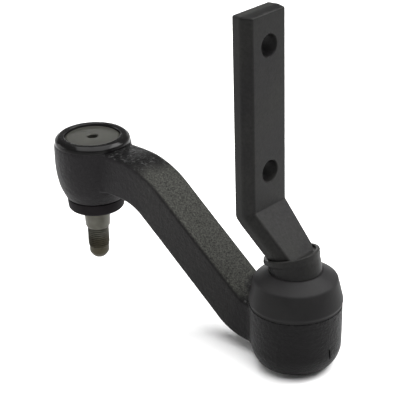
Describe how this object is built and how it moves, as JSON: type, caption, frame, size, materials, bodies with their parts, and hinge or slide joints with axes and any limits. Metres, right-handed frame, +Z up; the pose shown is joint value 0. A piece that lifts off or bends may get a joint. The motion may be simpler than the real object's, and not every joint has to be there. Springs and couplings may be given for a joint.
{
  "type": "idler arm",
  "caption": "Steering idler arm: a bent bracket with bolt holes turns on an upright stem in a cranked forged arm that carries a tapered ball stud.",
  "frame": {"origin": "on the bracket's flat mounting face, midway between its two bolt holes", "axes": "+Y out of the mounting face and along the arm towards the stud, +Z up along the pivot stem and the bar, +X across the bar"},
  "size_m": [0.0504, 0.1981, 0.1925],
  "materials": {
    "bracket_paint": "satin black paint on a forging",
    "arm_paint": "semi-gloss black paint over a blasted forging",
    "seal_rubber": "satin moulded rubber",
    "boot_rubber": "matt moulded rubber",
    "ring_rubber": "smooth rubber",
    "cover_steel": "plated, satin",
    "stud_steel": "turned and plated, satin",
    "machined_steel": "turned",
    "spring_steel": "tempered, oiled",
    "sintered_iron": "sintered, oil soaked"
  },
  "bodies": {
    "bracket": {"bracket": "bracket_paint", "pivot_seal": "seal_rubber", "upper_thrust_washer": "machined_steel", "lower_thrust_washer": "machined_steel", "stem_nut": "machined_steel", "nut_pin": "machined_steel"},
    "arm": {"arm_forging": "arm_paint", "retainer_ring": "machined_steel", "stem_o_ring": "ring_rubber", "retainer_o_ring": "ring_rubber", "upper_bearing": "sintered_iron", "lower_bearing": "sintered_iron", "preload_spring": "spring_steel", "stud_cover": "cover_steel", "stud_spring": "spring_steel", "lower_seat": "sintered_iron"},
    "pressure_seat": {"pressure_seat": "sintered_iron", "dust_boot": "boot_rubber"},
    "half_ball": {"half_ball": "machined_steel"},
    "ball_stud": {"ball_stud": "stud_steel"}
  },
  "joints": [
    {"name": "arm_swing", "type": "hinge", "parent": "bracket", "child": "arm", "pos_m": [0, -0.0294, -0.12145], "axis": [0, 0, 1], "continuous": true},
    {"name": "seat_spin", "type": "hinge", "parent": "arm", "child": "pressure_seat", "pos_m": [0, 0.1206, -0.06845], "axis": [0, 0, 1], "continuous": true},
    {"name": "stud_tilt", "type": "hinge", "parent": "pressure_seat", "child": "half_ball", "pos_m": [0, 0.1206, -0.06845], "axis": [1, 0, 0], "range_deg": [-15, 15], "deforming": ["dust_boot"]},
    {"name": "stud_spin", "type": "hinge", "parent": "half_ball", "child": "ball_stud", "pos_m": [0, 0.1206, -0.06845], "axis": [0, 0, 1], "continuous": true}
  ]
}
